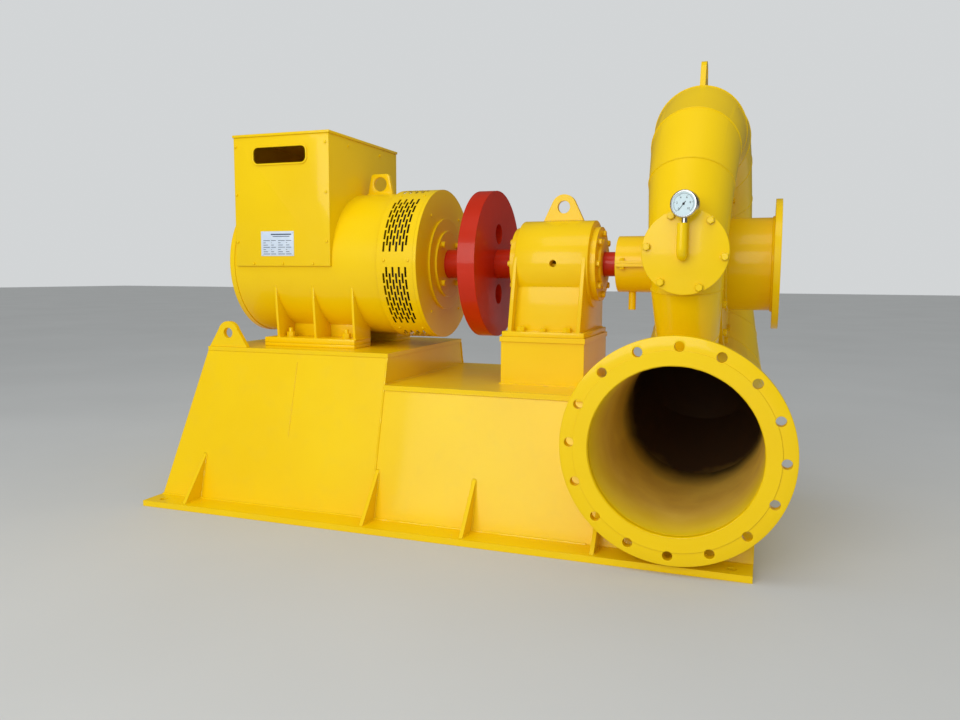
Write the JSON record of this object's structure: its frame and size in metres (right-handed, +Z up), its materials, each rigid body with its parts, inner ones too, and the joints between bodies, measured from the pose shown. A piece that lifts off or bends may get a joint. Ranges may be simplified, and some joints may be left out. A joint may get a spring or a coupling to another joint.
{
  "type": "horizontal hydroelectric generator set",
  "caption": "Horizontal hydroelectric set: an alternator, flywheel, bearing pedestal and spiral-casing turbine in line on a stepped welded base frame.",
  "frame": {"origin": "on the floor, midway between the four foundation bolt holes, under the shaft line", "axes": "+X along the shaft from the alternator to the turbine, +Y away from the inlet flange, +Z up"},
  "size_m": [1.714, 0.9561, 1.207],
  "materials": {
    "yellow_paint": "gloss enamel over welded steel",
    "red_paint": "gloss enamel",
    "cast_steel": "machined cast steel",
    "bare_plate": "satin",
    "gauge_steel": "brushed",
    "gauge_white": "satin"
  },
  "bodies": {
    "root": {"base_plate": "yellow_paint", "tall_base": "yellow_paint", "low_base": "yellow_paint", "tall_deck": "yellow_paint", "low_deck": "yellow_paint", "base_gussets": "yellow_paint", "base_lugs": "yellow_paint", "generator_pads": "yellow_paint", "generator_feet": "yellow_paint", "generator_body": "yellow_paint", "generator_rear_cover": "yellow_paint", "grille_ring": "yellow_paint", "generator_front_cover": "yellow_paint", "generator_bearing_cap": "yellow_paint", "generator_lug": "yellow_paint", "terminal_box": "yellow_paint", "terminal_lid": "yellow_paint", "nameplate": "bare_plate", "pedestal_box": "yellow_paint", "bearing_housing": "yellow_paint", "bearing_covers": "yellow_paint", "bearing_lug": "yellow_paint", "guard_upper": "yellow_paint", "guard_lower": "yellow_paint", "drain_pipe": "yellow_paint", "head_cover": "yellow_paint", "casing_drum": "yellow_paint", "casing_rings_a": "yellow_paint", "casing_rings_b": "yellow_paint", "inlet_pipe": "yellow_paint", "inlet_flange": "yellow_paint", "casing_saddles": "yellow_paint", "draft_cover": "yellow_paint", "draft_tube": "yellow_paint", "draft_flange": "yellow_paint", "hatch_neck": "yellow_paint", "hatch_cover": "yellow_paint", "gauge_pipe": "yellow_paint", "gauge_case": "gauge_steel", "gauge_dial": "gauge_white", "casing_lug": "yellow_paint"},
    "rotor": {"shaft": "red_paint", "flywheel": "red_paint", "coupling_sleeve": "red_paint", "runner": "cast_steel"}
  },
  "joints": [
    {"name": "rotor_spin", "type": "hinge", "parent": "root", "child": "rotor", "pos_m": [0.0617, 0, 0.686], "axis": [1, 0, 0], "continuous": true}
  ]
}
